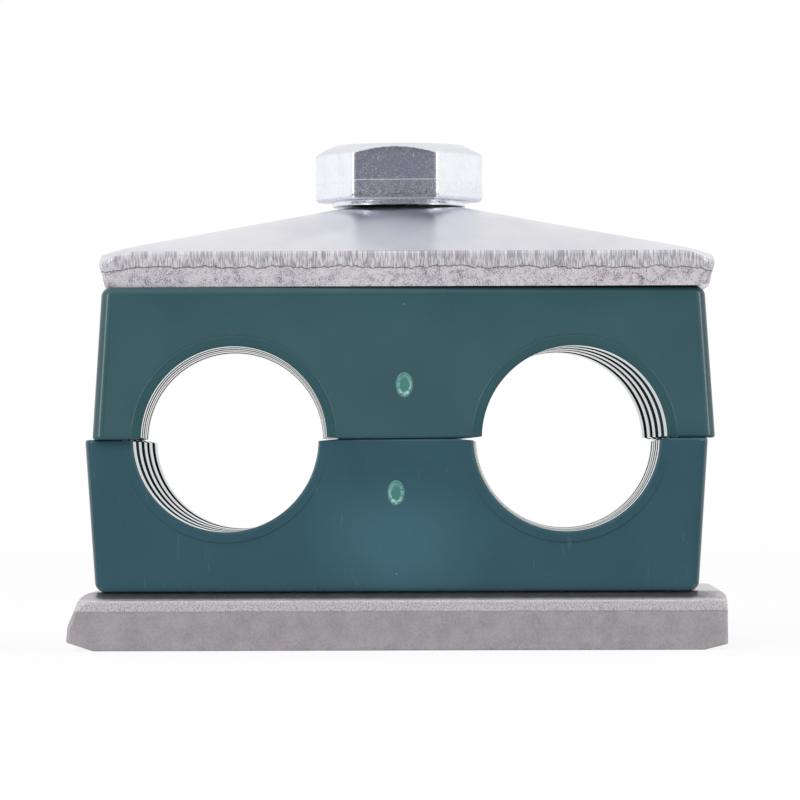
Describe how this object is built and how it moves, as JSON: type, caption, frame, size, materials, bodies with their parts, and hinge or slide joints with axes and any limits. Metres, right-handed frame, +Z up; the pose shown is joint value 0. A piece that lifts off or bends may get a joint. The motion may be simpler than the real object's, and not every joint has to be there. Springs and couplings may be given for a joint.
{
  "type": "twin hydraulic tube clamp",
  "caption": "Moulded green clamp for twin parallel tubes: halves held between a steel weld plate and a raised zinc-plated cover plate by a hexagon bolt.",
  "frame": {"origin": "centre of the underside of the weld plate, on the bolt's axis", "axes": "+Z up along the bolt, +X along the weld plate's length, +Y along the two tubes away from the viewer; the gate marks face -Y"},
  "size_m": [0.0562, 0.0324, 0.0438],
  "materials": {
    "hot_rolled_steel": "bare flat bar, matt warm grey, lightly oiled, sheared ends",
    "green_polypropylene": "moulded polypropylene, dark teal green, satin, lightly scuffed",
    "zinc_plate": "bright zinc plating on pressed steel, sheared edge with a fracture line",
    "zinc_bolt": "bright blue-white zinc plating on a forged hexagon bolt"
  },
  "bodies": {
    "base": {"weld_plate": "hot_rolled_steel"},
    "lower_jaw": {"lower_half": "green_polypropylene"},
    "cap": {"cover_plate": "zinc_plate"},
    "upper_jaw": {"upper_half": "green_polypropylene"},
    "screw": {"bolt": "zinc_bolt"}
  },
  "joints": [
    {"name": "lower_swivel", "type": "hinge", "parent": "base", "child": "lower_jaw", "pos_m": [0, 0, 0.0115], "axis": [0, 0, 1], "continuous": true},
    {"name": "jaw_lift", "type": "slide", "parent": "base", "child": "cap", "axis": [0, 0, 1], "range_m": [0, 0.00625]},
    {"name": "jaw_swivel", "type": "hinge", "parent": "cap", "child": "upper_jaw", "pos_m": [0, 0, 0.0245], "axis": [0, 0, 1], "continuous": true},
    {"name": "bolt_turn", "type": "hinge", "parent": "cap", "child": "screw", "pos_m": [0, 0, 0.03842], "axis": [0, 0, 1], "range_deg": [0, 1801]}
  ],
  "couplings": [
    {"joint": "bolt_turn", "follows": "jaw_lift", "rad_per_m": 5026.5}
  ]
}
